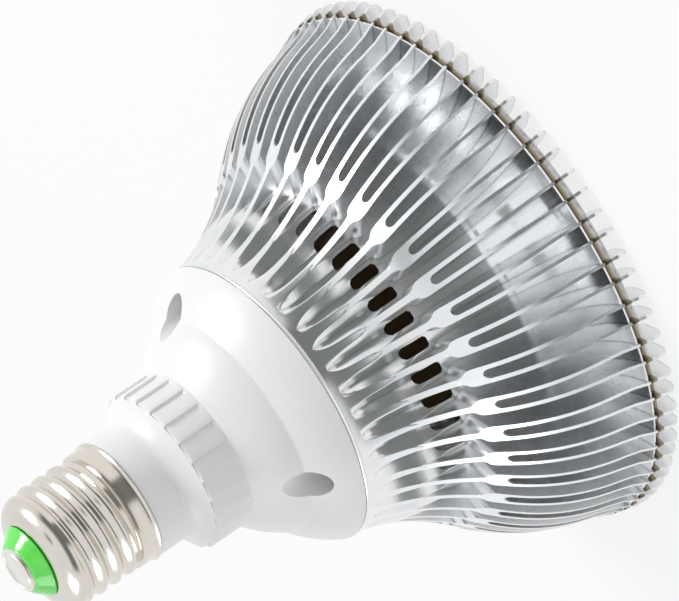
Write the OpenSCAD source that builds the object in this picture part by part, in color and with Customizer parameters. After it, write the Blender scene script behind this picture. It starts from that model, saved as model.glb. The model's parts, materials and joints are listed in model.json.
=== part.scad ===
// LED reflector bulb for an aquarium, standing on its front with the screw base up.
// Z = 0 is the plane of the petal ends, and the Z axis is the axis of the bulb.

/* [Overall] */
// Height of the centre contact above the petal ends
overall_h = 121; // [119:1:124]
// Radius of the heat sink over its petals
petal_r = 60.7; // [60:0.1:61.5]

/* [Heat sink] */
// Number of forked fins
fork_n = 40; // [36, 40]
// Radius where the bell curve turns from hollow to round
bell_mid_r = 45.2; // [44.8:0.1:45.6]
// Height where the bell curve turns from hollow to round
bell_mid_z = 33; // [32.5:0.1:33.5]
// Radius that the bell's hollow neck aims at
bell_neck_r = 34; // [33.5:0.1:34.3]
// Radius that the bell's round shoulder aims at
bell_shoulder_r = 54.3; // [53.9:0.1:54.7]
// Thickness of a fin above its fork
stem_t = 1.3; // [1:0.1:1.6]
// Height of the bottom of the fork's crotch
crotch_z = 32.6; // [31:0.2:34]
// Thickness of a tine at the crotch
tine_root_t = 0.9; // [0.8:0.05:1.1]
// Thickness of a tine at its petal
tine_tip_t = 0.65; // [0.6:0.05:0.8]
// Opening angle of the grooves between the fins
groove_angle = 100; // [90:2:110]
// Width of a window in the core wall
window_w = 2.6; // [2:0.1:3]
// Length of a window in the core wall
window_h = 5.8; // [4:0.2:6]

/* [Plastic housing] */
// Height of the seat between housing and heat sink
seat_z = 58; // [57.8:0.1:58.2]
// Radius of the housing at the heat sink
housing_r = 32.2; // [32:0.1:32.4]
// Radius of the grip collar
collar_r = 17.9; // [17.6:0.1:18.2]
// Number of flutes round the grip collar
flute_n = 24; // [20:1:26]
// Depth of a flute
flute_depth = 0.65; // [0.4:0.05:0.8]
// Radius of the neck
neck_r = 13.4; // [13.2:0.1:13.6]
// Wall thickness
housing_wall = 2; // [1.8:0.1:2.4]

/* [Screw base] */
// Radius over the thread crests
crest_r = 13.15; // [13:0.05:13.2]
// Radius at the thread roots
root_r = 12.15; // [12.1:0.05:12.3]
// Pitch of the thread
thread_pitch = 3.63; // [3.6:0.01:3.65]
// Radius of the plain skirt
skirt_r = 13.2; // [13.2:0.05:13.3]
// Thickness of the shell metal
shell_t = 0.35; // [0.3:0.05:0.4]
// Radius of the centre contact
contact_r = 4.9; // [4.5:0.1:5.2]

/* [Light engine] */
// Lenses in the inner ring
inner_n = 6; // [5:1:6]
// Lenses in the outer ring
outer_n = 12; // [10:1:12]
// Radius of the inner lens ring
inner_ring_r = 15.5; // [15:0.5:16]
// Radius of the outer lens ring
outer_ring_r = 33; // [32:0.5:34]
// Radius of a lens face
lens_r = 6.2; // [5.8:0.1:6.4]

/* [Hidden] */
$fn = 96;
far = 70;

// Heights of the heat sink, from the front to the base
petal_top_z = 3.9;
lip_z = 5.4;
straight_z = 6.7;
plate_z = 10.8;
plate_top_z = 14.8;
step_z = 17.6;
groove_end_z = 23;
window_z = 36.3;
crease_bend_z = 37.2;
ridge_z = 45.5;
entry_z = 51.5;
groove_top_z = 55.2;
flange_z = 54;

// Radii of the heat sink
lip_r = 59.4;
band_r = 58.9;
petal_in_r = 54;
step_r = 43;
groove_top_r = 33.1;
entry_crease_r = 32.45;
window_crease_r = 35.1;
groove_end_r = 40.6;
core_wall = 1.8;
bore_r = 23.5;
board_seat_r = 45.6;
front_cavity_r = 48;

// Directions in which forks, flutes and fasteners lie
fork_at = 1.84;
flute_at = 9.5;
housing_screw_r = 25.6;
housing_screw_at = -136;
bezel_screw_r = 50.6;
bezel_screw_n = 4;
board_screw_r = 24.2;

function bend(a, b, c, n) = [for (i = [0 : n]) point_on(a, b, c, i / n)];
function neck_curve(t) = point_on([housing_r - 0.3, seat_z], [bell_neck_r, 44.7],
    [bell_mid_r, bell_mid_z], t);
function point_on(a, b, c, t) = (1 - t) * (1 - t) * a + 2 * t * (1 - t) * b + t * t * c;
function ring_spots(n, r, start) = [
    for (i = [0 : n - 1]) [r * cos(start + 360 * i / n), r * sin(start + 360 * i / n)]
];
function lens_spots() = concat(
    ring_spots(inner_n, inner_ring_r, 0), ring_spots(outer_n, outer_ring_r, 15)
);

// Arc that sweeps the cup between the step and the rim lip
cup_r = 21.8;
cup_centre = [63, 27.35];

// Heat sink

module core_section() {
    difference() {
        polygon(concat(
            [[bore_r, seat_z], [housing_r - 0.1, seat_z], [housing_r + 0.1, seat_z - 0.5]],
            [for (t = [0.08, 0.2, 0.32, 0.42, 0.5]) neck_curve(t)],
            [[36, ridge_z - 0.9], [window_crease_r + 2.3, window_z + 0.5]],
            [[window_crease_r + 2.8, window_z - 4], [groove_end_r - 1.2, groove_end_z + 3]],
            [[groove_end_r + 0.45, groove_end_z - 0.8], [step_r - 0.3, step_z + 0.5]],
            [[step_r + 0.4, step_z + 0.35], [step_r + 0.4, step_z - 0.2], [lip_r, 8.5]],
            [[lip_r, lip_z], [band_r, lip_z - 0.2], [band_r + 0.1, petal_top_z + 0.6]],
            [[band_r - 0.2, petal_top_z], [front_cavity_r, petal_top_z], [front_cavity_r, 9]],
            [[board_seat_r, 9], [board_seat_r, plate_z], [0, plate_z], [0, plate_top_z]],
            [[step_r - 2.6, plate_top_z], [step_r - 2.2, step_z]],
            [[groove_end_r - core_wall - 0.6, groove_end_z]],
            [[window_crease_r - core_wall, crease_bend_z], [entry_crease_r - core_wall, flange_z - 2]],
            [[entry_crease_r - 2 * core_wall, flange_z], [bore_r, flange_z]]
        ));
        translate(cup_centre) circle(r = cup_r);
    }
}

// Everything beyond one flank of a groove, whose crease bends twice on its way down
module groove_flank() {
    half = groove_angle / 2;
    crease = [[groove_top_r + 0.2, groove_top_z + 1.2], [entry_crease_r, entry_z],
        [window_crease_r, crease_bend_z], [groove_end_r, groove_end_z]];
    rotate([0, 0, 90 - half]) rotate([90, 0, 0]) linear_extrude(far)
        polygon(concat([for (p = crease) [p[0] * sin(half), p[1]]],
            [[far, groove_end_z], [far, groove_top_z + 1.2]]));
}

module window_cut() {
    w = window_w / 2;
    c = 0.6;
    translate([0, 0, window_z]) rotate([90, 0, 90]) linear_extrude(far)
        polygon([[c - w, 0], [w - c, 0], [w, c], [w, window_h - c], [w - c, window_h],
            [c - w, window_h], [-w, window_h - c], [-w, c]]);
}

// Groove between two fins, with its window
module valley_cuts() {
    intersection() {
        groove_flank();
        mirror([0, 1, 0]) groove_flank();
    }
    window_cut();
}

// One fork as seen from outside: stem, shoulders, round crotch and two tines
module fork_outline() {
    stem = stem_t / 2;
    in_top = 1.05;
    out_top = in_top + tine_root_t;
    in_rim = 2.15 - tine_tip_t / 2;
    out_rim = 2.15 + tine_tip_t / 2;
    middle = [(stem + out_top) / 2, crotch_z + 2.75];
    shoulder = concat(
        bend([stem, crotch_z + 4], [stem + 0.08, crotch_z + 3.15], middle, 3),
        bend(middle, [out_top - 0.08, crotch_z + 2.35], [out_top, crotch_z + 1.2], 3)
    );
    right = concat([[stem, 50]], shoulder, [[out_rim, straight_z], [out_rim, -1]]);
    left = [for (i = [len(right) - 1 : -1 : 0]) [-right[i][0], right[i][1]]];
    difference() {
        polygon(concat(right, left));
        translate([0, crotch_z - in_top]) circle(r = in_top);
        polygon([[in_top, crotch_z - in_top], [in_rim, straight_z], [in_rim, -2], [-in_rim, -2],
            [-in_rim, straight_z], [-in_top, crotch_z - in_top]]);
    }
}

// Side view of a fork, from inside the core wall out to the bell curve and the petal
module fork_section() {
    polygon(concat(
        [[entry_crease_r, 49], [35.3, ridge_z + 0.7]],
        [for (t = [0.55, 0.7, 0.85]) neck_curve(t)],
        bend([bell_mid_r, bell_mid_z], [bell_shoulder_r, 23.9], [57.2, 12], 5),
        [[58.3, 8.5], [lip_r + 0.25, lip_z + 0.5], [petal_r - 0.55, 3.4], [petal_r, 1.4], [petal_r - 0.5, 0]],
        [[petal_in_r + 0.7, 0], [petal_in_r, 0.9], [petal_in_r, petal_top_z + 0.6]],
        [[51, 7], [47.5, 10.5], [step_r + 0.3, 16], [step_r - 1, step_z + 0.1]],
        [[groove_end_r - 0.8, groove_end_z], [window_crease_r - 0.6, window_z]]
    ));
}

module fork() {
    intersection() {
        rotate([90, 0, 0]) linear_extrude(6, center = true) fork_section();
        rotate([90, 0, 90]) linear_extrude(far) fork_outline();
    }
}

// Slice of the casting with a few whole forks, split beside a groove's crease
module heat_sink_slice(forks) {
    pitch = 360 / fork_n;
    union() {
        difference() {
            rotate([0, 0, -0.4 * pitch]) rotate_extrude(angle = forks * pitch) core_section();
            for (i = [0 : forks]) rotate([0, 0, pitch * (i - 0.5)]) valley_cuts();
        }
        for (i = [0 : forks - 1]) rotate([0, 0, pitch * i]) fork();
    }
}

module heat_sink() {
    slices = 4;
    color("lightsteelblue") difference() {
        for (i = [0 : slices - 1]) rotate([0, 0, fork_at + 360 * i / slices])
            heat_sink_slice(fork_n / slices);
        for (a = [0, 120, 240]) rotate([0, 0, housing_screw_at + a])
            translate([housing_screw_r, 0, flange_z - 1]) cylinder(r = 1.45, h = 6);
        for (p = ring_spots(3, board_screw_r, 30))
            translate([p[0], p[1], plate_z - 1]) cylinder(r = 1.3, h = 3.6);
        for (p = ring_spots(bezel_screw_n, bezel_screw_r, 45))
            translate([p[0], p[1], petal_top_z - 1]) cylinder(r = 1.1, h = 4);
        translate([6, board_mid_y, plate_z - 1]) cylinder(r = 2.4, h = 6);
    }
}

// Plastic housing

module housing_section() {
    cavity_r = bore_r - 2.9;
    polygon(concat(
        [[skirt_r - shell_t - 1.2, 111], [skirt_r - shell_t - 1.2, 99]],
        [[skirt_r - shell_t - 0.05, 98.6], [skirt_r - shell_t - 0.05, 95.2], [neck_r, 95.2]],
        bend([neck_r, 88.8], [neck_r + 0.2, 86.8], [collar_r - 0.6, 84.5], 8),
        [[collar_r, 84.1], [collar_r, 75.6]],
        bend([collar_r + 0.1, 75.4], [22.6, 71.6], [25, 66.9], 10),
        bend([25.3, 66.5], [29.6, 63], [housing_r, seat_z + 0.3], 10),
        [[housing_r - 0.2, seat_z], [bore_r - 0.1, seat_z], [bore_r - 0.1, seat_z - 2]],
        [[cavity_r, seat_z - 2], [cavity_r, 64.6]],
        bend([cavity_r - 0.2, 66], [18.6, 70.6], [collar_r - 2.6, 74], 6),
        [[collar_r - 2.6, 84], [neck_r - housing_wall - 0.6, 88.6]],
        [[neck_r - housing_wall - 0.6, 111]]
    ));
}

pocket_floor = 1.2;
pocket_r = 3.3;

// Slanted flat of the collar, deepest at its own azimuth 0, where the next land steps up
module flute_cut() {
    wide = 360 / flute_n - 2;
    deep = collar_r - flute_depth;
    edge = collar_r + 0.03;
    rim = collar_r + 2;
    translate([0, 0, 75.1]) linear_extrude(12)
        polygon([[deep, 0], [rim, 0], [rim * cos(wide), -rim * sin(wide)],
            [edge * cos(wide), -edge * sin(wide)]]);
}

module housing() {
    color("white") difference() {
        rotate_extrude() housing_section();
        for (i = [0 : flute_n - 1]) rotate([0, 0, flute_at + 360 * i / flute_n]) flute_cut();
        for (a = [0, 120, 240]) rotate([0, 0, housing_screw_at + a]) {
            translate([housing_screw_r, 0, seat_z + pocket_floor]) cylinder(r = pocket_r, h = 20);
            translate([housing_screw_r, 0, seat_z - 1]) cylinder(r = 1.7, h = 6);
        }
    }
}

module housing_screws() {
    color("silver") for (a = [0, 120, 240]) rotate([0, 0, housing_screw_at + a])
        translate([housing_screw_r, 0, 0]) pan_screw(seat_z + pocket_floor, 2.6, 1.4, -1, 5.2);
}

// Pan-head screw on a seat, head to the given side (1 is down), with a cross recess
module pan_screw(seat, head_r, shank_r, side, shank) {
    translate([0, 0, seat]) mirror([0, 0, side > 0 ? 0 : 1]) difference() {
        rotate_extrude() polygon([[0, shank], [shank_r - 0.5, shank], [shank_r, shank - 1],
            [shank_r, 0], [head_r, 0], [head_r, -0.7], [head_r - 0.7, -1.4], [0, -1.6]]);
        for (a = [0, 90]) rotate([0, 0, a])
            translate([-head_r * 0.55, -0.3, -2.8]) cube([head_r * 1.1, 0.6, 2]);
    }
}

// Screw base

thread_top_z = 114.2;
turns = 4;

// Wall of the shell, with its round thread drawn as closed ridges
function ridge_points(shift) = [
    for (i = [turns * 8 : -1 : 0]) [
        (crest_r + root_r) / 2 - (crest_r - root_r) / 2 * cos(360 * i / 8) - shift,
        thread_top_z - turns * thread_pitch + i * thread_pitch / 8
    ]
];

module screw_shell() {
    inner_top = 8 - 0.35;
    outer = concat(
        bend([8, 117.1], [11.6, 116.6], [root_r, 114.6], 5),
        ridge_points(0),
        [[skirt_r, 99.2], [skirt_r, 96.1], [neck_r + 0.3, 95.7], [neck_r + 0.3, 95.25]]
    );
    inner = concat(
        [[skirt_r - shell_t, 95.25], [skirt_r - shell_t, 99.2]],
        [for (p = ridge_points(shell_t)) [p[0], 2 * thread_top_z - turns * thread_pitch - p[1]]],
        bend([root_r - shell_t, 114.5], [11.3, 116.2], [inner_top, 116.7], 5)
    );
    color("tan") rotate_extrude() polygon(concat(outer, inner));
}

module insulator() {
    color("limegreen") rotate_extrude() polygon(concat(
        [[1, 112.4], [10.9, 112.4], [11.2, 113.6]],
        bend([10.9, 115.2], [10.2, 116.1], [7.6, 116.6], 3),
        [[7.6, 117.3], [8.1, 117.2], [5.4, overall_h - 0.85], [1, overall_h - 0.85]]
    ));
}

module centre_contact() {
    top = overall_h;
    color("gainsboro") rotate_extrude() polygon([
        [0, top], [contact_r - 0.95, top], [contact_r - 0.8, top - 0.25],
        [contact_r - 0.5, top - 0.25], [contact_r - 0.35, top - 0.05], [contact_r, top - 0.3],
        [contact_r, top - 0.85], [1, top - 0.85], [1, top - 10], [0, top - 10]
    ]);
}

// Driver

board_z = 9.2;
board_y = -3;
board_t = 1.6;
board_mid_y = board_y + board_t / 2;
board_foot_z = plate_top_z + 0.85;
board_top_z = 84;
lead_x = [4.8, 7.2];

module driver_sleeve() {
    r = bore_r - 0.9;
    color("saddlebrown") rotate_extrude() polygon([
        [9, plate_top_z + 0.05], [r, plate_top_z + 0.05], [r, 55.5], [r - 0.8, 55.5],
        [r - 0.8, plate_top_z + 0.85], [9, plate_top_z + 0.85]
    ]);
}

module driver_board() {
    color("darkgreen") translate([0, board_y + board_t, 0]) rotate([90, 0, 0])
        linear_extrude(board_t) difference() {
            polygon([[-21.5, board_foot_z], [21.5, board_foot_z], [21.5, 53], [19.5, 55],
                [19.5, 63], [13, 68], [13, 74], [8.6, 78], [8.6, board_top_z],
                [-8.6, board_top_z], [-8.6, 78], [-13, 74], [-13, 68], [-19.5, 63],
                [-19.5, 55], [-21.5, 53]]);
            for (x = [-18, 18]) translate([x, 50]) circle(r = 1.2);
        }
}

// Runs its child on the component side of the board, its own Z away from the board
module on_board(x, z) {
    translate([x, board_y, z]) rotate([90, 0, 0]) children();
}

module transformer() {
    color("dimgray") on_board(2, 36) {
        difference() {
            translate([-9, -8, 0]) cube([18, 16, 14]);
            translate([-6, -9, 3]) cube([12, 18, 8]);
        }
        translate([0, 0, 0.6]) cylinder(r = 5.5, h = 12);
    }
}

module radial_capacitor(r, h) {
    rotate_extrude() polygon([[0, 0], [r - 0.4, 0], [r, 0.5], [r, 1.6], [r - 0.35, 2], [r, 2.4],
        [r, h - 0.5], [r - 0.5, h], [0, h]]);
}

module input_capacitor() {
    color("midnightblue") on_board(0, 57) radial_capacitor(5, 15);
}

module output_capacitor() {
    color("midnightblue") on_board(-12, 24) radial_capacitor(4, 11);
}

module line_choke() {
    color("orange") on_board(0, 72.5) rotate_extrude() polygon([[0, 0], [4, 0], [4, 1.2],
        [2.8, 1.6], [2.8, 6.4], [4, 6.8], [4, 8], [0, 8]]);
}

module bridge_rectifier() {
    color("black") on_board(-12.5, 61) {
        translate([-2.3, -3.2, 0.6]) cube([4.6, 6.4, 2.4]);
        for (x = [-3, 3], z = [-1.3, 1.3])
            translate([x - 0.9, z - 0.4, 0]) cube([1.8, 0.8, 1.2]);
    }
}

module fuse_resistor() {
    color("cadetblue") on_board(0, 81) {
        translate([-3, 0, 1.6]) rotate([0, 90, 0]) cylinder(r = 1.4, h = 6);
        for (x = [-4, 3.4]) translate([x, -0.3, 0]) cube([0.6, 0.6, 1.9]);
        translate([-4, 0, 1.6]) rotate([0, 90, 0]) cylinder(r = 0.3, h = 8);
    }
}

module power_transistor() {
    color("black") on_board(11, 22) {
        translate([-5, -2.2, 2]) cube([10, 4.4, 9]);
        for (x = [-2.5, 0, 2.5]) translate([x - 0.4, -0.25, 0]) cube([0.8, 0.5, 2.4]);
    }
}

// Straight run of round wire between two points
module wire_run(from, to, r) {
    run = to - from;
    translate(from) rotate([0, acos(run[2] / norm(run)), atan2(run[1], run[0])])
        cylinder(r = r, h = norm(run));
}

module live_wire() {
    bend_at = [0, 0, 100];
    color("brown") {
        wire_run([0, 0, overall_h - 10], bend_at, 0.8);
        translate(bend_at) sphere(r = 0.9);
        wire_run(bend_at, [4, board_mid_y, board_top_z], 0.8);
    }
}

module neutral_wire() {
    color("royalblue") {
        wire_run([-11.6, 0, 111.75], [-9.6, 0, 111.75], 0.45);
        wire_run([-9.6, 0, 112.3], [-4, board_mid_y, board_top_z], 0.7);
    }
}

module led_leads() {
    color("firebrick") for (x = lead_x)
        wire_run([x, board_mid_y, board_z], [x, board_mid_y, board_foot_z], 0.7);
}

// Light engine

module led_board() {
    color("whitesmoke") difference() {
        translate([0, 0, board_z]) cylinder(r = board_seat_r - 0.2, h = plate_z - board_z);
        for (x = lead_x) translate([x, board_mid_y, board_z - 1]) cylinder(r = 0.75, h = 4);
        for (p = ring_spots(3, board_screw_r, 30))
            translate([p[0], p[1], board_z - 1]) cylinder(r = 1.6, h = 4);
    }
}

module board_screws() {
    color("silver") for (p = ring_spots(3, board_screw_r, 30))
        translate([p[0], p[1], 0]) pan_screw(board_z, 2.5, 1.25, 1, 4);
}

module emitter() {
    translate([-1.75, -1.75, board_z - 0.7]) cube([3.5, 3.5, 0.7]);
    translate([0, 0, board_z - 0.7]) rotate_extrude() polygon([[0, 0.1], [1.35, 0.1], [1.3, -0.4],
        [0.95, -0.95], [0.4, -1.25], [0, -1.3]]);
}

module blue_emitters() {
    color("royalblue") for (p = ring_spots(outer_n, outer_ring_r, 15))
        translate([p[0], p[1], 0]) emitter();
}

module white_emitters() {
    color("lemonchiffon") for (p = ring_spots(inner_n, inner_ring_r, 0))
        translate([p[0], p[1], 0]) emitter();
}

plate_front_z = 2.1;

module lens_plate() {
    color("black") difference() {
        translate([0, 0, plate_front_z]) cylinder(r = petal_in_r - 0.8, h = petal_top_z - plate_front_z);
        for (p = lens_spots()) translate([p[0], p[1], 0]) cylinder(r = lens_r + 0.05, h = 9);
        for (p = ring_spots(bezel_screw_n, bezel_screw_r, 45))
            translate([p[0], p[1], 0]) cylinder(r = 1.4, h = 9);
    }
}

module lenses() {
    color("lightcyan") for (p = lens_spots()) translate([p[0], p[1], 0]) rotate_extrude()
        polygon([[0, 1.4], [lens_r - 0.6, 1.4], [lens_r, 1.9], [lens_r, petal_top_z],
            [lens_r + 0.5, petal_top_z], [lens_r + 0.5, petal_top_z + 0.5], [4.6, 6.4], [3.2, 8.3],
            [2.4, 8.5], [2, 8.4], [1.9, 7], [0, 6.6]]);
}

module front_bezel() {
    color("silver") difference() {
        rotate_extrude() polygon([[46.2, 0.6], [46.8, 0], [petal_in_r - 1.3, 0],
            [petal_in_r - 0.7, 0.6], [petal_in_r - 0.7, plate_front_z], [46.2, plate_front_z]]);
        for (p = ring_spots(bezel_screw_n, bezel_screw_r, 45)) translate([p[0], p[1], -0.01])
            rotate_extrude() polygon([[0, 0], [2.3, 0], [1.2, 1.2], [1.2, 5], [0, 5]]);
    }
}

module bezel_screws() {
    color("silver") for (p = ring_spots(bezel_screw_n, bezel_screw_r, 45))
        translate([p[0], p[1], 0]) difference() {
            rotate_extrude() polygon([[0, 0.05], [2.2, 0.05], [1.08, 1.25], [1.08, 6.2], [0.5, 6.8],
                [0, 6.8]]);
            for (a = [0, 90]) rotate([0, 0, a]) translate([-1.2, -0.25, -1]) cube([2.4, 0.5, 1.8]);
        }
}

heat_sink();
housing();
housing_screws();
screw_shell();
insulator();
centre_contact();
driver_sleeve();
driver_board();
transformer();
input_capacitor();
output_capacitor();
line_choke();
bridge_rectifier();
fuse_resistor();
power_transistor();
live_wire();
neutral_wire();
led_leads();
led_board();
board_screws();
blue_emitters();
white_emitters();
lens_plate();
lenses();
front_bezel();
bezel_screws();
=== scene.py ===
"""Looks of an aquarium reflector bulb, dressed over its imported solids.

The bulb stands on its front with the screw base up, in metres, and its axis is Z.
"""

from __future__ import annotations

import json
import logging
import math
from dataclasses import dataclass
from enum import Enum

import bpy
from mathutils import Matrix, Vector

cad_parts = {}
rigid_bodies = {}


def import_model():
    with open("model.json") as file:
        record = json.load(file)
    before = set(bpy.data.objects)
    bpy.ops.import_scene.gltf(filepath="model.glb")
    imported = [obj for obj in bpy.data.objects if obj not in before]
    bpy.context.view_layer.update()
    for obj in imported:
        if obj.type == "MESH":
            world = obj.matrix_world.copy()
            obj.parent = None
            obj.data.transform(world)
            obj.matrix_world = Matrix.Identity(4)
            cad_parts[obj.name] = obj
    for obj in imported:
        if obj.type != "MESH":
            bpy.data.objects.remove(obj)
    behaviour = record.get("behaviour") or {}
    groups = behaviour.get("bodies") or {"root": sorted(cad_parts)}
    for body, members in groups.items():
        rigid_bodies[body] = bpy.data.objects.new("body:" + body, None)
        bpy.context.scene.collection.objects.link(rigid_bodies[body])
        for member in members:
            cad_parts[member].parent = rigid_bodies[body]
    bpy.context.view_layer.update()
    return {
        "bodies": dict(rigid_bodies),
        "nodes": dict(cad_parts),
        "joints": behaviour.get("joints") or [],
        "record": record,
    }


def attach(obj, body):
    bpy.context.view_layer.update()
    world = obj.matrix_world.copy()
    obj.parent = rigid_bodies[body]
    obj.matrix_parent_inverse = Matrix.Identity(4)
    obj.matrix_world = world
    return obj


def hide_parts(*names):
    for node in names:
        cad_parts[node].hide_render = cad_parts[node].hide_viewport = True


LOG = logging.getLogger("bulb")
MM = 0.001
SAME_POINT = 0.0008 * MM
ZINC = (0.55, 0.55, 0.53)
BODY = "root"
PHOTO_WIDTH = 679
Colour = tuple[float, float, float]
Point = tuple[float, float]
Outline = list[Point]


class Along(Enum):
    """Axis that an outline is extruded along."""

    X = Vector((1.0, 0.0, 0.0))
    Y = Vector((0.0, 1.0, 0.0))


def grey(value: float) -> Colour:
    """A neutral colour of one value."""
    return (value, value, value)


class Graph:
    """Node graph of one material or of the world, written as short expressions."""

    def __init__(self, tree: bpy.types.NodeTree) -> None:
        """Empties the tree.

        Args:
            tree: The node tree to build in.
        """
        self.tree = tree
        tree.nodes.clear()

    def node(self, kind: str, **inputs: object) -> bpy.types.Node:
        """Adds a node.

        Args:
            kind: Blender's node type without its ShaderNode prefix.
            **inputs: Properties of the node, or inputs by their name with _ for a space.

        Returns:
            The node.
        """
        made = self.tree.nodes.new("ShaderNode" + kind)
        for name, value in inputs.items():
            if hasattr(made, name):
                setattr(made, name, value)
            else:
                self.put(made, name.replace("_", " "), value)
        return made

    def put(self, node: bpy.types.Node, key: str | int, value: object) -> None:
        """Sets or links one input.

        Args:
            node: The node that takes the value.
            key: The input's name or number.
            value: A socket to link, or a plain value.
        """
        socket = node.inputs[key]
        if isinstance(value, bpy.types.NodeSocket):
            self.tree.links.new(value, socket)
        elif isinstance(value, tuple) and socket.type == "RGBA":
            socket.default_value = (*value, 1.0)
        else:
            socket.default_value = value

    def maths(self, operation: str, first: object, second: object = 0.0) -> bpy.types.NodeSocket:
        """One Math node.

        Args:
            operation: Blender's operation name.
            first: First value or socket.
            second: Second value or socket.

        Returns:
            The result's socket.
        """
        made = self.tree.nodes.new("ShaderNodeMath")
        made.operation = operation
        self.put(made, 0, first)
        self.put(made, 1, second)
        return made.outputs[0]

    def step(self, value: object, low: float, high: float) -> bpy.types.NodeSocket:
        """Smooth rise from 0 at low to 1 at high.

        Args:
            value: Socket that is measured.
            low: Where the rise starts.
            high: Where it ends.

        Returns:
            The result's socket.
        """
        made = self.node("MapRange", interpolation_type="SMOOTHSTEP", clamp=True)
        for key, number in (("Value", value), ("From Min", low), ("From Max", high)):
            self.put(made, key, number)
        return made.outputs[0]

    def blend(self, share: object, first: object, second: object) -> bpy.types.NodeSocket:
        """Mixes two colours.

        Args:
            share: Share of the second colour.
            first: First colour or socket.
            second: Second colour or socket.

        Returns:
            The colour's socket.
        """
        made = self.tree.nodes.new("ShaderNodeMix")
        made.data_type = "RGBA"
        self.put(made, 0, share)
        self.put(made, 6, first)
        self.put(made, 7, second)
        return made.outputs[2]

    def place(self) -> tuple[bpy.types.NodeSocket, bpy.types.NodeSocket, bpy.types.NodeSocket]:
        """Where a point of the piece is.

        Returns:
            Object coordinates, the distance from the bulb's axis and the height.
        """
        where = self.node("TexCoord").outputs["Object"]
        parts = self.node("SeparateXYZ", Vector=where)
        across = self.node("CombineXYZ", X=parts.outputs[0], Y=parts.outputs[1])
        length = self.node("VectorMath", operation="LENGTH")
        self.put(length, 0, across.outputs[0])
        return where, length.outputs["Value"], parts.outputs[2]

    def noise(self, where: object, scale: float, detail: float = 3.0) -> bpy.types.NodeSocket:
        """Cloudy noise.

        Args:
            where: Coordinates.
            scale: Grains a metre.
            detail: Octaves.

        Returns:
            The noise's socket.
        """
        return self.node("TexNoise", Vector=where, Scale=scale, Detail=detail).outputs["Fac"]

    def stretched(self, where: object, x: float, y: float, z: float) -> bpy.types.NodeSocket:
        """Coordinates scaled along each axis.

        Args:
            where: Coordinates.
            x: Scale along X.
            y: Scale along Y.
            z: Scale along Z.

        Returns:
            The scaled coordinates.
        """
        return self.node("Mapping", Vector=where, Scale=(x, y, z)).outputs[0]

    def bump(self, height: object, depth: float) -> bpy.types.NodeSocket:
        """Normal of a fine relief.

        Args:
            height: Height from 0 to 1.
            depth: What 1 stands for, in metres.

        Returns:
            The normal's socket.
        """
        return self.node("Bump", Height=height, Distance=depth, Strength=1.0).outputs[0]

    def mirrored(self, ray: bpy.types.Node) -> bpy.types.NodeSocket:
        """Tells the rays that come off gloss or through glass.

        Args:
            ray: A light path node.

        Returns:
            A socket that is 1 for such rays.
        """
        return self.maths(
            "MAXIMUM", ray.outputs["Is Glossy Ray"], ray.outputs["Is Transmission Ray"]
        )


@dataclass(frozen=True)
class Finish:
    """A surface finish, from which one material is made."""

    name: str
    colour: Colour = grey(0.5)
    roughness: float = 0.4
    metallic: float = 0.0

    def material(self) -> bpy.types.Material:
        """Makes the material, or returns the one made before.

        Returns:
            The material.
        """
        found = bpy.data.materials.get(self.name)
        if found:
            return found
        made = bpy.data.materials.new(self.name)
        made.use_nodes = True
        graph = Graph(made.node_tree)
        shader = graph.node("BsdfPrincipled")
        output = graph.node("OutputMaterial")
        graph.put(output, "Surface", shader.outputs[0])
        graph.put(shader, "Base Color", self.colour)
        graph.put(shader, "Roughness", self.roughness)
        graph.put(shader, "Metallic", self.metallic)
        self.draw(graph, shader)
        return made

    def draw(self, graph: Graph, shader: bpy.types.Node) -> None:
        """Adds the finish's own detail to the shader.

        Args:
            graph: The material's graph.
            shader: Its principled shader.
        """
        where, _, _ = graph.place()
        cloud = graph.noise(where, 900.0, 4.0)
        darker = tuple(0.82 * part for part in self.colour)
        graph.put(shader, "Base Color", graph.blend(cloud, darker, self.colour))
        grain = graph.noise(where, 5000.0, 2.0)
        graph.put(shader, "Normal", graph.bump(grain, 0.02 * MM))


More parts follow.
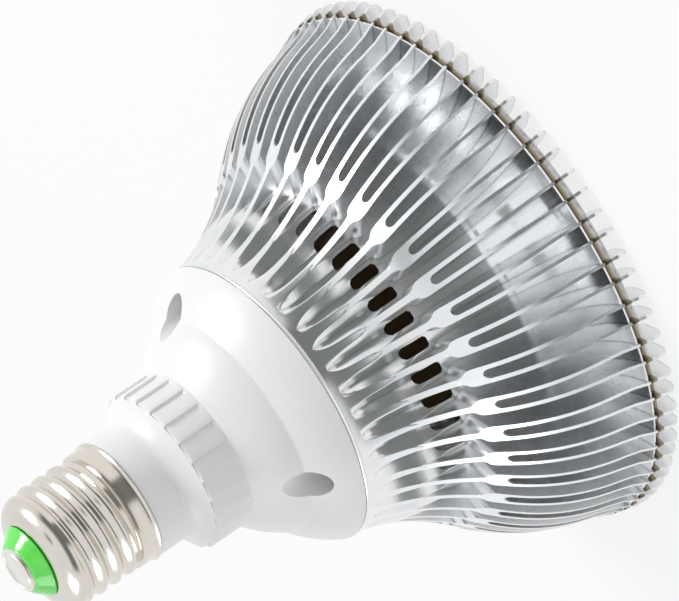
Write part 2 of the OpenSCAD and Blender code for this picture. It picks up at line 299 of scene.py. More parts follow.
@dataclass(frozen=True)
class PolishedCasting(Finish):
    """Polished aluminium of the heat sink, with painted shade in its grooves and the rim band
    coloured as a painted reflection, dark to light.
    """

    name: str = "polished_casting"
    colour: Colour = (0.90, 0.905, 0.91)
    roughness: float = 0.1
    metallic: float = 1.0
    # groove: painted shade colour that darkens creases and grooves
    groove: Colour = (0.42, 0.44, 0.45)
    # rim band colours: painted shade on the lip side and a painted highlight towards the front
    band_painted_shade: Colour = (0.10, 0.08, 0.05)
    band_painted_highlight: Colour = (0.42, 0.36, 0.27)

    def draw(self, graph: Graph, shader: bpy.types.Node) -> None:
        """Adds the polish's clouding, painted shade in the grooves, and the rim band's colour
        painted as a reflection from dark to light.
        """
        where, radius, height = graph.place()
        cloud = graph.noise(where, 160.0, 5.0)
        # painted shade: occlusion darkens the metal towards the groove colour in creases and
        # hollows
        crease_occlusion = graph.node("AmbientOcclusion", samples=4, Distance=0.8 * MM).outputs["AO"]
        clean = graph.blend(cloud, tuple(0.9 * part for part in self.colour), self.colour)
        metal = graph.blend(graph.step(crease_occlusion, 0.2, 0.85), self.groove, clean)
        in_band = graph.maths(
            "MULTIPLY",
            graph.step(radius, 58.2 * MM, 58.6 * MM),
            graph.maths(
                "MULTIPLY",
                graph.step(height, 3.7 * MM, 3.8 * MM),
                graph.maths("SUBTRACT", 1.0, graph.step(height, 5.22 * MM, 5.3 * MM)),
            ),
        )
        # painted reflection across the band: light at 3.9 mm towards the front, painted shade at
        # 5.2 mm towards the lip
        band = graph.blend(
            graph.step(height, 3.9 * MM, 5.2 * MM), self.band_painted_highlight, self.band_painted_shade
        )
        graph.put(shader, "Base Color", graph.blend(in_band, metal, band))
        rough = graph.node("MapRange")
        graph.put(rough, "Value", cloud)
        graph.put(rough, "To Min", self.roughness * 0.7)
        graph.put(rough, "To Max", self.roughness * 1.5)
        duller = graph.maths("SUBTRACT", 1.0, graph.step(radius, 42.0 * MM, 43.5 * MM))
        duller = graph.maths("MULTIPLY", duller, 0.08)
        graph.put(shader, "Roughness", graph.maths("ADD", rough.outputs[0], duller))
        skin = graph.noise(where, 1400.0, 3.0)
        graph.put(shader, "Normal", graph.bump(skin, 0.006 * MM))


@dataclass(frozen=True)
class MouldedWhite(Finish):
    """White moulded plastic with a satin gloss."""

    name: str = "moulded_white"
    colour: Colour = (0.87, 0.87, 0.87)
    roughness: float = 0.4

    def draw(self, graph: Graph, shader: bpy.types.Node) -> None:
        """Adds the moulding's slight clouding and skin."""
        where, _, _ = graph.place()
        cloud = graph.noise(where, 60.0, 4.0)
        dull = tuple(0.96 * part for part in self.colour)
        graph.put(shader, "Base Color", graph.blend(cloud, dull, self.colour))
        graph.put(shader, "Subsurface Weight", 0.12)
        graph.put(shader, "Subsurface Scale", 1.5 * MM)
        graph.put(shader, "Coat Weight", 0.15)
        graph.put(shader, "Coat Roughness", 0.3)
        skin = graph.noise(where, 2600.0, 2.0)
        graph.put(shader, "Normal", graph.bump(skin, 0.01 * MM))


@dataclass(frozen=True)
class PlatedShell(Finish):
    """Nickel plate on the screw shell, warm, with drawing marks round the axis."""

    name: str = "plated_shell"
    colour: Colour = (0.80, 0.75, 0.68)
    roughness: float = 0.16
    metallic: float = 1.0

    def draw(self, graph: Graph, shader: bpy.types.Node) -> None:
        """Adds drawing marks and clouding."""
        where, _, _ = graph.place()
        rings = graph.noise(graph.stretched(where, 0.02, 0.02, 1.0), 2500.0, 4.0)
        cloud = graph.noise(where, 220.0, 4.0)
        dull = tuple(0.82 * part for part in self.colour)
        graph.put(shader, "Base Color", graph.blend(cloud, dull, self.colour))
        rough = graph.node("MapRange")
        graph.put(rough, "Value", rings)
        graph.put(rough, "To Min", self.roughness * 0.6)
        graph.put(rough, "To Max", self.roughness * 1.5)
        graph.put(shader, "Roughness", rough.outputs[0])
        graph.put(shader, "Normal", graph.bump(rings, 0.004 * MM))


@dataclass(frozen=True)
class GreenGloss(Finish):
    """Glossy green insulator with a little depth of colour."""

    name: str = "green_gloss"
    colour: Colour = (0.09, 0.72, 0.06)
    roughness: float = 0.15
    swirl: Colour = (0.16, 0.86, 0.11)

    def draw(self, graph: Graph, shader: bpy.types.Node) -> None:
        """Adds swirls of a lighter green and a gloss coat."""
        where, _, _ = graph.place()
        cloud = graph.noise(where, 300.0, 3.0)
        graph.put(shader, "Base Color", graph.blend(cloud, self.colour, self.swirl))
        graph.put(shader, "Subsurface Weight", 0.2)
        graph.put(shader, "Subsurface Scale", 1.0 * MM)
        graph.put(shader, "Coat Weight", 0.6)
        graph.put(shader, "Coat Roughness", 0.06)


@dataclass(frozen=True)
class ContactMetal(Finish):
    """Pale plated contact, slightly brushed."""

    name: str = "contact_metal"
    colour: Colour = (0.80, 0.75, 0.66)
    roughness: float = 0.34
    metallic: float = 1.0


@dataclass(frozen=True)
class ClearLens(Finish):
    """Clear moulded lens."""

    name: str = "clear_lens"
    colour: Colour = (0.93, 0.96, 0.98)
    roughness: float = 0.05

    def draw(self, graph: Graph, shader: bpy.types.Node) -> None:
        """Adds transmission and faint moulding rings."""
        where, _, _ = graph.place()
        graph.put(shader, "Transmission Weight", 0.9)
        graph.put(shader, "IOR", 1.49)
        skin = graph.noise(where, 700.0, 2.0)
        graph.put(shader, "Normal", graph.bump(skin, 0.01 * MM))


class Inner(Enum):
    """Finishes of the pieces that the casing holds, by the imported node's name."""

    HOUSING_SCREWS = Finish("zinc_screw_a", ZINC, 0.3, 1.0)
    DRIVER_SLEEVE = Finish("brown_sleeve", (0.045, 0.026, 0.012), 0.55)
    DRIVER_BOARD = Finish("solder_resist", (0.02, 0.14, 0.05), 0.35)
    TRANSFORMER = Finish("ferrite_core", (0.05, 0.05, 0.055), 0.6)
    INPUT_CAPACITOR = Finish("can_sleeve_a", (0.02, 0.03, 0.12), 0.3)
    OUTPUT_CAPACITOR = Finish("can_sleeve_b", (0.02, 0.03, 0.12), 0.3)
    LINE_CHOKE = Finish("enamelled_winding", (0.45, 0.16, 0.04), 0.35)
    BRIDGE_RECTIFIER = Finish("black_resin_a", (0.02, 0.02, 0.022), 0.5)
    FUSE_RESISTOR = Finish("lacquered_body", (0.12, 0.3, 0.36), 0.4)
    POWER_TRANSISTOR = Finish("black_resin_b", (0.02, 0.02, 0.022), 0.5)
    LIVE_WIRE = Finish("brown_wire", (0.12, 0.04, 0.015), 0.45)
    NEUTRAL_WIRE = Finish("blue_wire", (0.02, 0.07, 0.35), 0.45)
    LED_LEADS = Finish("red_wire", (0.38, 0.02, 0.015), 0.45)
    LED_BOARD = Finish("white_board", (0.78, 0.78, 0.76), 0.4)
    BOARD_SCREWS = Finish("zinc_screw_b", ZINC, 0.3, 1.0)
    BLUE_EMITTERS = Finish("blue_emitter", (0.5, 0.6, 0.85), 0.2)
    WHITE_EMITTERS = Finish("white_emitter", (0.85, 0.7, 0.18), 0.25)


def select_only(piece: bpy.types.Object) -> None:
    """Makes a piece the only selected and active object.

    Args:
        piece: The piece.
    """
    for other in bpy.context.view_layer.objects:
        other.select_set(False)
    piece.hide_set(False)
    piece.select_set(True)
    bpy.context.view_layer.objects.active = piece


def deselect_all() -> None:
    """Deselects every object."""
    for other in bpy.context.view_layer.objects:
        other.select_set(False)
    bpy.context.view_layer.objects.active = None


def point_on(a: Point, b: Point, c: Point, share: float) -> Point:
    """A point of the curve that leaves a towards b and ends at c.

    Args:
        a: Start.
        b: Where the curve aims.
        c: End.
        share: Share of the way, from 0 to 1.

    Returns:
        The point.
    """
    rest = 1.0 - share
    return tuple(
        rest * rest * p + 2.0 * share * rest * q + share * share * r for p, q, r in zip(a, b, c)
    )


def bend(a: Point, b: Point, c: Point, steps: int) -> Outline:
    """Points along the curve of point_on, both ends included."""
    return [point_on(a, b, c, i / steps) for i in range(steps + 1)]


def rows(low: float, high: float, gap: float) -> list[float]:
    """Evenly spaced heights from high down to low, no further apart than gap."""
    count = math.ceil((high - low) / gap)
    return [high - (high - low) * i / count for i in range(count + 1)]


def smooth(value: float, low: float, high: float) -> float:
    """Smooth rise from 0 at low to 1 at high."""
    share = min(1.0, max(0.0, (value - low) / (high - low)))
    return share * share * (3.0 - 2.0 * share)


def at_height(path: Outline, height: float) -> float:
    """Radius of a path that runs downwards, at one height.

    Args:
        path: Radius and height of its points, from the top down.
        height: The height in mm.

    Returns:
        The radius, or the nearest end's.
    """
    for (r_high, high), (r_low, low) in zip(path, path[1:]):
        if low <= height <= high:
            share = (high - height) / max(high - low, 1e-9)
            return r_high + (r_low - r_high) * share
    return path[0][0] if height > path[0][1] else path[-1][0]


def traced(name: str, there: list[Vector]) -> bpy.types.Object:
    """Draws edges from point to point, and leaves them selected in edit mode.

    Args:
        name: Name of the piece.
        there: The points in metres, in order.

    Returns:
        The piece.
    """
    deselect_all()
    bpy.ops.mesh.primitive_plane_add(size=MM)
    piece = bpy.context.object
    piece.name = name
    bpy.ops.object.mode_set(mode="EDIT")
    bpy.ops.mesh.select_all(action="SELECT")
    bpy.ops.mesh.merge(type="CENTER")
    bpy.ops.transform.translate(value=there[0])
    for before, after in zip(there, there[1:]):
        bpy.ops.mesh.extrude_vertices_move(TRANSFORM_OT_translate={"value": after - before})
    bpy.ops.mesh.select_all(action="SELECT")
    return piece


def face_outwards() -> None:
    """Turns all faces of the piece in edit mode outwards, and leaves that mode."""
    bpy.ops.mesh.select_all(action="SELECT")
    bpy.ops.mesh.normals_make_consistent(inside=False)
    bpy.ops.object.mode_set(mode="OBJECT")


def turned(name: str, outline: Outline, steps: int, start: float = 0.0) -> bpy.types.Object:
    """Turns a closed outline round the bulb's axis.

    Args:
        name: Name of the piece.
        outline: Radius and height of each corner in mm, in order.
        steps: Faces round the axis.
        start: Azimuth of the first corner in degrees.

    Returns:
        The piece, closed and with its faces outwards.
    """
    x, y = math.cos(math.radians(start)), math.sin(math.radians(start))
    there = [Vector((r * x, r * y, z)) * MM for r, z in [*outline, outline[0]]]
    piece = traced(name, there)
    bpy.ops.mesh.spin(steps=steps, angle=math.tau, center=(0, 0, 0), axis=(0, 0, 1))
    bpy.ops.mesh.select_all(action="SELECT")
    bpy.ops.mesh.remove_doubles(threshold=SAME_POINT)
    face_outwards()
    return piece


def drawn(name: str, outline: Outline, along: Along, low: float, high: float) -> bpy.types.Object:
    """Draws a closed outline and extrudes it square to its plane.

    Args:
        name: Name of the piece.
        outline: Corners in mm, in order: their place across and their height.
        along: Axis that the outline is extruded along.
        low: Where the extrusion starts in mm.
        high: Where it ends.

    Returns:
        The piece, closed and with its faces outwards.
    """
    start = low * along.value
    across = Vector((1.0, 1.0, 0.0)) - along.value
    there = [(start + flat * across + Vector((0.0, 0.0, z))) * MM for flat, z in outline]
    piece = traced(name, [*there, there[0]])
    bpy.ops.mesh.remove_doubles(threshold=SAME_POINT)
    bpy.ops.mesh.edge_face_add()
    bpy.ops.mesh.extrude_region_move(
        TRANSFORM_OT_translate={"value": (high - low) * MM * along.value}
    )
    face_outwards()
    return piece


def turn(piece: bpy.types.Object, azimuth: float) -> None:
    """Turns a piece's mesh about the bulb's axis.

    Args:
        piece: The piece.
        azimuth: Angle in degrees.
    """
    select_only(piece)
    piece.rotation_euler.z = math.radians(azimuth)
    bpy.ops.object.transform_apply(location=False, rotation=True, scale=False)


def ringed(piece: bpy.types.Object, count: int) -> None:
    """Copies a piece's mesh evenly round the bulb's axis.

    Args:
        piece: The piece, which holds all its copies afterwards.
        count: Number of copies, the first included.
    """
    select_only(piece)
    bpy.ops.object.mode_set(mode="EDIT")
    bpy.ops.mesh.select_all(action="SELECT")
    bpy.ops.mesh.spin(
        steps=count - 1,
        dupli=True,
        angle=math.tau * (count - 1) / count,
        center=(0, 0, 0),
        axis=(0, 0, 1),
    )
    bpy.ops.object.mode_set(mode="OBJECT")


def modify(piece: bpy.types.Object, kind: str, **settings: object) -> None:
    """Applies a modifier to a piece.

    Args:
        piece: The piece.
        kind: Blender's type of modifier.
        **settings: Its settings by their names.
    """
    select_only(piece)
    tool = piece.modifiers.new(kind.lower(), kind)
    for name, value in settings.items():
        setattr(tool, name, value)
    bpy.ops.object.modifier_apply(modifier=tool.name)


def join_solid(piece: bpy.types.Object, tool_piece: bpy.types.Object, operation: str) -> None:
    """Cuts or crosses one piece with another, which is then gone.

    Args:
        piece: The piece that is kept.
        tool_piece: The closed piece that works on it.
        operation: DIFFERENCE to cut, INTERSECT to keep what both share.
    """
    modify(piece, "BOOLEAN", operation=operation, solver="EXACT", object=tool_piece)
    bpy.data.objects.remove(tool_piece)


def rounded(piece: bpy.types.Object, width: float) -> None:
    """Rounds a piece's edges of more than 30 degrees, with two faces each.

    Args:
        piece: The piece.
        width: Width of the rounding in mm.
    """
    limit = math.radians(30.0)
    modify(piece, "BEVEL", width=width * MM, segments=2, limit_method="ANGLE", angle_limit=limit)


def weigh_normals(piece: bpy.types.Object) -> None:
    """Keeps large faces flat beside their roundings."""
    modify(piece, "WEIGHTED_NORMAL", keep_sharp=True)


def finish_piece(
    piece: bpy.types.Object, finish: Finish, nodes: tuple[str, ...], sharp: float = 30.0
) -> bpy.types.Object:
    """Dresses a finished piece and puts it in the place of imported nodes.

    Args:
        piece: The piece, with its place in its mesh.
        finish: Its finish.
        nodes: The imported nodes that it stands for.
        sharp: Angle in degrees past which an edge stays sharp.

    Returns:
        The piece.
    """
    select_only(piece)
    bpy.ops.object.shade_smooth_by_angle(angle=math.radians(sharp))
    piece.data.materials.clear()
    piece.data.materials.append(finish.material())
    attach(piece, BODY)
    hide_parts(*nodes)
    LOG.info("%s: %d faces", piece.name, len(piece.data.polygons))
    return piece


def merged_copy(frame: dict, node: str, name: str) -> bpy.types.Object:
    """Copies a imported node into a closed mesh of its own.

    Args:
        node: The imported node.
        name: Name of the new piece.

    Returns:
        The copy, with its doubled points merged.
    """
    source = frame["nodes"][node]
    piece = bpy.data.objects.new(name, source.data.copy())
    bpy.context.scene.collection.objects.link(piece)
    select_only(piece)
    bpy.ops.object.mode_set(mode="EDIT")
    bpy.ops.mesh.select_all(action="SELECT")
    bpy.ops.mesh.remove_doubles(threshold=0.002 * MM)
    bpy.ops.object.mode_set(mode="OBJECT")
    return piece


@dataclass
class CopiedPiece:
    """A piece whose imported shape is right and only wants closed, smooth faces and a finish."""

    node: str
    name: str
    slot: str
    finish: Finish
    sharp: float = 28.0

    def build(self, frame: dict) -> bpy.types.Object:
        """Makes the piece.


        Returns:
            The piece.
        """
        piece = merged_copy(frame, self.node, self.name)
        return finish_piece(piece, self.finish, (self.node,), self.sharp)


@dataclass
class CastHeatSink:
    """Polished casting: grooved core with windows, flared cup and forked fins round it."""

    forks: int = 40
    fork_at: float = 1.84
    columns: int = 400
    inside_r: float = 24.0
    skin: float = 0.9
    flank: float = 50.0
    edge: float = 0.11
    closed_half: float = 0.35
    groove_low: float = 37.3
    groove_high: float = 56.4
    fades: tuple[Point, Point] = ((30.0, 36.0), (56.0, 57.3))
    moved: Point = (20.0, 57.5)
    stem: float = 0.67
    crotch_z: float = 32.6
    crotch_r: float = 1.05
    tine: float = 0.9
    tine_tip: float = 0.65
    tine_ring: float = 2.15
    window: tuple[float, float, float] = (36.3, 42.1, 1.3)
    window_corner: float = 0.55
    cup_centre: Point = (63.0, 27.35)
    cup_r: float = 21.8

    def neck(self) -> Outline:
        """Bell curve over the ridges and stems, from the seat down to the shoulders."""
        return bend((31.9, 58.0), (34.0, 44.7), (45.2, 33.0), 44)

    def face(self) -> Outline:
        """Core's outer face, from the seat down to the step of the cup."""
        neck = self.neck()
        levels = [*rows(53.0, 57.2, 0.2), *rows(45.05, 53.0, 0.5)[1:]]
        upper = [(at_height(neck, z), z) for z in levels]
        lower = [(36.0, 44.6), *bend((37.4, 36.8), (38.2, 28.0), (42.7, 18.1), 12)]
        rows_down = [
            (at_height(lower, z), z)
            for high, low in zip(lower, lower[1:])
            for z in rows(low[1], high[1], 0.9)[:-1]
        ]
        return [(32.22, 57.4), *upper, (36.2, 44.85), *rows_down, lower[-1]]

    def crease(self) -> Outline:
        """Bottom of a groove, from its blunt end at the seat down to where it runs out."""
        return [
            *bend((32.6, 56.05), (31.6, 54.95), (31.8, 53.0), 6),
            *bend((31.8, 53.0), (32.0, 51.0), (33.08, 48.1), 6)[1:],
            *bend((33.08, 48.1), (34.0, 45.6), (34.4, 43.2), 6)[1:],
            *bend((34.4, 43.2), (34.9, 40.6), (37.7, self.groove_low), 6)[1:],
        ]

    def cup(self) -> Outline:
        """Mirror-like cup between the step and the lip of the rim."""
        x, z = self.cup_centre
        first, last = math.radians(207.9), math.radians(260.5)
        return [
            (x + self.cup_r * math.cos(a), z + self.cup_r * math.sin(a))
            for a in (first + (last - first) * i / 26 for i in range(27))
        ]

    def outline(self) -> Outline:
        """Section of the core, grooves left out."""
        return [
            (23.5, 58.0),
            (31.95, 58.0),
            (32.14, 57.95),
            (32.24, 57.82),
            (32.26, 57.6),
            *self.face(),
            (43.05, 17.75),
            (43.4, 17.42),
            *self.cup(),
            (59.4, 5.7),
            (59.38, 5.45),
            (59.25, 5.36),
            (58.95, 5.3),
            (58.88, 5.15),
            (58.92, 4.7),
            (58.85, 4.1),
            (58.65, 3.9),
            (48.0, 3.9),
            (48.0, 9.0),
            (45.6, 9.0),
            (45.6, 10.8),
            (0.6, 10.8),
            (0.6, 14.8),
            (40.4, 14.8),
            (40.8, 17.6),
            (38.9, 23.0),
            (37.4, 30.0),
            (36.4, 36.0),
            (34.9, 39.6),
            (33.4, 42.6),
            (32.0, 47.0),
            (30.5, 50.5),
            (28.6, 54.0),
            (23.5, 54.0),
        ]

    def groove_half(self, height: float, face: Outline, crease: Outline) -> float:
        """Half of a groove's angle round the axis at one height.

        Args:
            height: The height in mm.
            face: The core's outer face.
            crease: The groove's bottom.

        Returns:
            Degrees, or 0 where there is no groove.
        """
        if not self.groove_low < height < self.groove_high:
            return 0.0
        share = at_height(crease, height) / at_height(face, height)
        if share >= 1.0:
            return 0.0
        lean = math.radians(self.flank)
        ridge = math.degrees(self.stem / at_height(face, height))
        widest = 180.0 / self.forks - ridge
        return min(widest, math.degrees(math.acos(share * math.sin(lean))) - 90.0 + self.flank)

    def groove(self, piece: bpy.types.Object) -> None:
        """Presses the grooves into the turned core and sets its columns along their edges.

        Args:
            piece: The turned core.
        """
        face, crease = self.face(), self.crease()
        pitch = 360.0 / self.forks
        gap = 360.0 / self.columns
        whole = self.columns // self.forks
        ridge = pitch / 2
        start = self.fork_at + ridge
        slope = 1.0 / math.tan(math.radians(self.flank))
        (low, below), (above, high) = self.fades
        for vertex in piece.data.vertices:
            x, y, z = vertex.co / MM
            radius = math.hypot(x, y)
            if radius < self.inside_r or z < self.moved[0] or z > self.moved[1]:
                continue
            bottom = at_height(crease, z)
            if radius < min(bottom, at_height(face, z)) - self.skin:
                continue
            half = self.groove_half(z, face, crease)
            column = round((math.degrees(math.atan2(y, x)) - start) / gap) % self.columns
            place = column % whole
            side = 1 if place <= whole // 2 else -1
            step = min(place, whole - place)
            wide = max(half, self.closed_half)
            last = wide + self.edge
            shift = (0.0, wide * 0.5, wide - self.edge, last, (last + ridge) / 2, ridge)[step]
            fade = 1.0 if half > 0.0 else smooth(z, low, below) * (1.0 - smooth(z, above, high))
            shift = gap * step * (1.0 - fade) + shift * fade
            if half > 0.0:
                small = math.radians(shift)
                radius = min(radius, bottom / (math.cos(small) - slope * math.sin(small)))
            turned_to = math.radians(start + pitch * (column // whole) + side * shift)
            if side < 0:
                turned_to += math.radians(pitch)
            vertex.co = Vector((radius * math.cos(turned_to), radius * math.sin(turned_to), z)) * MM

    def windows(self, piece: bpy.types.Object) -> None:
        """Cuts the windows, their corners cut off, through the bottoms of the grooves.

        Args:
            piece: The grooved core.
        """
        low, high, half = self.window
        corner = self.window_corner
        outline = [
            (-half, low + corner),
            (-half + corner, low),
            (half - corner, low),
            (half, low + corner),
            (half, high - corner),
            (half - corner, high),
            (-half + corner, high),
            (-half, high - corner),
        ]
        cutter = drawn("windows", outline, Along.X, 20.0, 60.0)
        turn(cutter, self.fork_at + 180.0 / self.forks)
        ringed(cutter, self.forks)
        join_solid(piece, cutter, "DIFFERENCE")

    def core(self) -> bpy.types.Object:
        """Models the core with its grooves and windows.

        Returns:
            The core.
        """
        start = self.fork_at + 180.0 / self.forks
        piece = turned("casting", self.outline(), self.columns, start)
        self.groove(piece)
        select_only(piece)
        bpy.ops.object.mode_set(mode="EDIT")
        face_outwards()
        self.windows(piece)
        return piece

    def fork(self) -> bpy.types.Object:
        """Models one fork: stem, stepped shoulders, round crotch and two tines with petals.

        Returns:
            The fork, at azimuth 0.
        """
        inner, outer = self.crotch_r, self.crotch_r + self.tine
        tip = self.tine_tip / 2
        foot = self.crotch_z
        middle = ((self.stem + outer) / 2, foot + 2.75)
        right = [
            (self.stem, 54.0),
            *bend((self.stem, foot + 4.0), (self.stem + 0.08, foot + 3.15), middle, 5),
            *bend(middle, (outer - 0.08, foot + 2.35), (outer, foot + 1.2), 5)[1:],
            (self.tine_ring + tip, 6.7),
            (self.tine_ring + tip, -1.0),
            (self.tine_ring - tip, -1.0),
            (self.tine_ring - tip, 6.7),
        ]
        crotch = [
            (inner * math.cos(a), foot - inner + inner * math.sin(a))
            for a in (math.pi * i / 12 for i in range(13))
        ]
        left = [(-flat, z) for flat, z in reversed(right)]
        plate = drawn("fins", [*right, *crotch, *left], Along.X, 20.0, 70.0)
        side = [
            (31.2, 52.6),
            *[(r - 0.06 * (z - 45.3), z) for r, z in self.neck() if 45.3 < z < 52.4],
            *[point for point in self.neck() if point[1] < 45.3],
            *bend((45.2, 33.0), (54.3, 23.9), (57.2, 12.0), 16)[1:],
            (58.3, 8.5),
            (59.65, 5.9),
            (60.15, 3.4),
            (60.55, 2.6),
            *bend((60.7, 1.9), (60.7, 0.0), (58.9, 0.0), 6),
            *bend((55.9, 0.0), (54.0, 0.0), (54.0, 1.6), 5),
            (54.0, 4.5),
            (51.0, 7.0),
            (47.5, 10.5),
            (43.3, 16.0),
            (42.0, 17.7),
            (39.8, 23.0),
            (38.2, 30.0),
            (36.9, 36.2),
            (35.3, 40.0),
            (34.2, 42.6),
            (32.7, 47.0),
        ]
        join_solid(plate, drawn("side", side, Along.Y, -3.0, 3.0), "INTERSECT")
        rounded(plate, 0.1)
        return plate

    def build(self) -> bpy.types.Object:
        """Models and dresses the casting.

        Returns:
            The piece.
        """
        core = self.core()
        fins = self.fork()
        turn(fins, self.fork_at)
        select_only(fins)
        bpy.ops.object.shade_smooth_by_angle(angle=math.radians(40.0))
        weigh_normals(fins)
        ringed(fins, self.forks)
        finish_piece(core, PolishedCasting(), ("heat_sink",), 32.0)
        weigh_normals(core)
        fins.data.materials.clear()
        fins.data.materials.append(PolishedCasting("polished_fins", roughness=0.24).material())
        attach(fins, BODY)
        LOG.info("fins: %d faces", len(fins.data.polygons))
        return core


@dataclass
class WhiteHousing:
    """White moulding: neck, fluted collar and a dome of two bulges with screw pockets."""

    neck_r: float = 13.4
    collar_r: float = 17.9
    flute_depth: float = 0.65
    flutes: int = 24
    flute_at: float = 9.5
    collar_low: float = 75.6
    collar_high: float = 84.3
    seat_z: float = 58.0
    seat_r: float = 32.2
    bore_r: float = 20.6
    columns: tuple[float, ...] = (0.015, 0.05, 0.13, 0.3, 0.5, 0.7, 0.9, 0.985)
    flat_from: float = 0.13
    pocket_r: float = 3.3
    pocket_ring: float = 25.6
    pocket_at: float = -136.0
    pocket_floor: float = 59.2

    def outline(self) -> Outline:
        """Section of the moulding, flutes left out."""
        low, high = self.collar_low + 0.7, self.collar_high - 0.8
        land = [(self.collar_r, z) for z in rows(low, high, 1.0)]
        return [
            (12.7, 98.5),
            (12.8, 98.2),
            (12.8, 95.22),
            (self.neck_r - 0.15, 95.22),
            (self.neck_r, 95.0),
            (self.neck_r, 91.0),
            *bend((self.neck_r, 88.8), (self.neck_r + 0.2, 86.8), (17.25, 84.5), 10),
            (self.collar_r - 0.42, self.collar_high),
            (self.collar_r - 0.15, self.collar_high - 0.1),
            (self.collar_r - 0.03, self.collar_high - 0.35),
            *land,
            (self.collar_r, self.collar_low + 0.4),
            (self.collar_r - 0.02, self.collar_low + 0.15),
            *bend((self.collar_r + 0.05, 75.45), (22.6, 71.6), (25.0, 66.95), 16),
            (25.13, 66.66),
            *bend((25.3, 66.5), (29.6, 63.0), (self.seat_r, self.seat_z + 0.3), 16),
            (self.seat_r - 0.1, self.seat_z + 0.08),
            (self.seat_r - 0.3, self.seat_z),
            (23.4, self.seat_z),
            (23.4, 56.2),
            (23.2, 56.0),
            (self.bore_r, 56.0),
            (self.bore_r, 64.6),
            *bend((20.4, 66.0), (18.6, 70.6), (15.3, 74.0), 6),
            (15.3, 84.0),
            (10.8, 88.6),
            (10.8, 98.5),
        ]

    def flute(self, piece: bpy.types.Object) -> None:
        """Presses the slanted flats into the collar, each with a step up to the next.

        Args:
            piece: The turned moulding.
        """
        pitch = 360.0 / self.flutes
        whole = len(self.columns)
        steps = self.flutes * whole
        for vertex in piece.data.vertices:
            x, y, z = vertex.co / MM
            radius = math.hypot(x, y)
            way = (math.degrees(math.atan2(y, x)) - self.flute_at) % 360 / 360
            column = round(way * steps) % steps
            share = self.columns[column % whole]
            azimuth = math.radians(self.flute_at + pitch * (column // whole + share))
            if radius > self.collar_r - 0.5 and self.collar_low < z < self.collar_high + 0.05:
                slant = max(0.0, (share - self.flat_from) / (1.0 - self.flat_from))
                ends = smooth(z, self.collar_low + 0.05, self.collar_low + 1.0)
                radius -= self.flute_depth * slant * ends
            vertex.co = Vector((radius * math.cos(azimuth), radius * math.sin(azimuth), z)) * MM

    def pockets(self, piece: bpy.types.Object) -> None:
        """Sinks the screw pockets and their holes.

        Args:
            piece: The moulding.
        """
        for further in (0.0, 120.0, 240.0):
            where = math.radians(self.pocket_at + further)
            x, y = self.pocket_ring * math.cos(where), self.pocket_ring * math.sin(where)
            for radius, low, high in (
                (self.pocket_r, self.pocket_floor, 78.0),
                (1.7, self.seat_z - 1.0, self.pocket_floor + 1.0),
            ):
                deselect_all()
                bpy.ops.mesh.primitive_cylinder_add(
                    vertices=64,
                    radius=radius * MM,
                    depth=(high - low) * MM,
                    location=(x * MM, y * MM, (high + low) / 2 * MM),
                )
                join_solid(piece, bpy.context.object, "DIFFERENCE")

    def build(self) -> bpy.types.Object:
        """Models and dresses the moulding.

        Returns:
            The piece.
        """
        steps = self.flutes * len(self.columns)
        piece = turned("moulding", self.outline(), steps, self.flute_at)
        self.flute(piece)
        self.pockets(piece)
        return finish_piece(piece, MouldedWhite(), ("housing",), 24.0)


